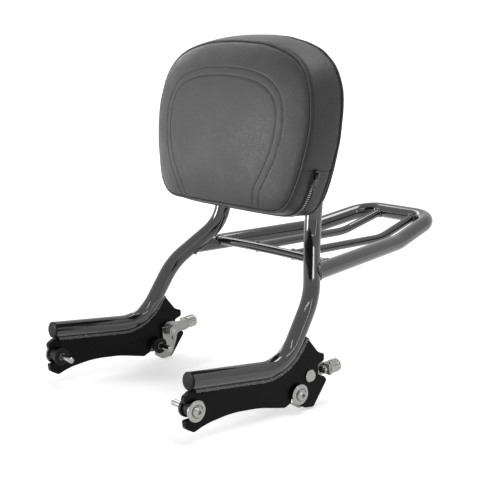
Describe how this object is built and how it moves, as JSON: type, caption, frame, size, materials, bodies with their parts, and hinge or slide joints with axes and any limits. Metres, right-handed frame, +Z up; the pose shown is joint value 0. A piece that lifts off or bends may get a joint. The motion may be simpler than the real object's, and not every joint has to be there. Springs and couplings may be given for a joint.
{
  "type": "motorcycle sissy bar with luggage rack",
  "caption": "Detachable passenger backrest for a motorcycle: bent tube hoop with padded cushion, kicked-up tube rack, notched side plates and sprung docking latches.",
  "frame": {"origin": "middle of the bounding box in X and Y, at its lowest point in Z", "axes": "+X to the left of the bike, -Y to its front, where the pad faces, +Y to its rear, +Z up"},
  "size_m": [0.3272, 0.5291, 0.4547],
  "materials": {
    "tube_black": "gloss",
    "plate_black": "gloss",
    "plug_plastic": "satin",
    "pad_cover": "satin grain",
    "board_plastic": "matte",
    "zip_metal": "black nickel",
    "spool_rubber": "satin",
    "polished_steel": "polished",
    "zinc_steel": "zinc plated"
  },
  "bodies": {
    "frame": {"hoop": "tube_black", "end_plug_left": "plug_plastic", "end_plug_right": "plug_plastic", "side_plate_left": "plate_black", "side_plate_right": "plate_black", "rack_loop": "tube_black", "rack_crossbar": "tube_black", "rack_bar_left": "tube_black", "rack_bar_right": "tube_black", "pad_cushion": "pad_cover", "pad_board": "board_plastic", "pad_strap_upper": "tube_black", "pad_strap_lower": "tube_black", "pad_screws": "zinc_steel", "zip_slider": "zip_metal", "dock_spools": "spool_rubber", "dock_caps": "polished_steel", "dock_screws": "polished_steel", "latch_pin_left": "polished_steel", "latch_pin_right": "polished_steel", "latch_nut_left": "zinc_steel", "latch_nut_right": "zinc_steel", "latch_spring_left": "zinc_steel", "latch_spring_right": "zinc_steel"},
    "latch_left": {"latch_lever_left": "zinc_steel", "latch_knob_left": "polished_steel", "latch_screw_left": "polished_steel"},
    "latch_right": {"latch_lever_right": "zinc_steel", "latch_knob_right": "polished_steel", "latch_screw_right": "polished_steel"},
    "pull": {"zip_pull": "zip_metal"}
  },
  "joints": [
    {"name": "latch_left_hinge", "type": "hinge", "parent": "frame", "child": "latch_left", "pos_m": [0.1446, -0.069, 0.0415], "axis": [1, 0, 0], "range_deg": [0, 12], "stiffness_Nm_per_rad": 0.4, "springref_deg": -20.05},
    {"name": "latch_right_hinge", "type": "hinge", "parent": "frame", "child": "latch_right", "pos_m": [-0.1446, -0.069, 0.0415], "axis": [1, 0, 0], "range_deg": [0, 12], "stiffness_Nm_per_rad": 0.4, "springref_deg": -20.05},
    {"name": "zip_pull_hinge", "type": "hinge", "parent": "frame", "child": "pull", "pos_m": [0.15189, -0.05657, 0.29173], "axis": [0, 0.9968, -0.0802], "range_deg": [-120, 0]}
  ]
}
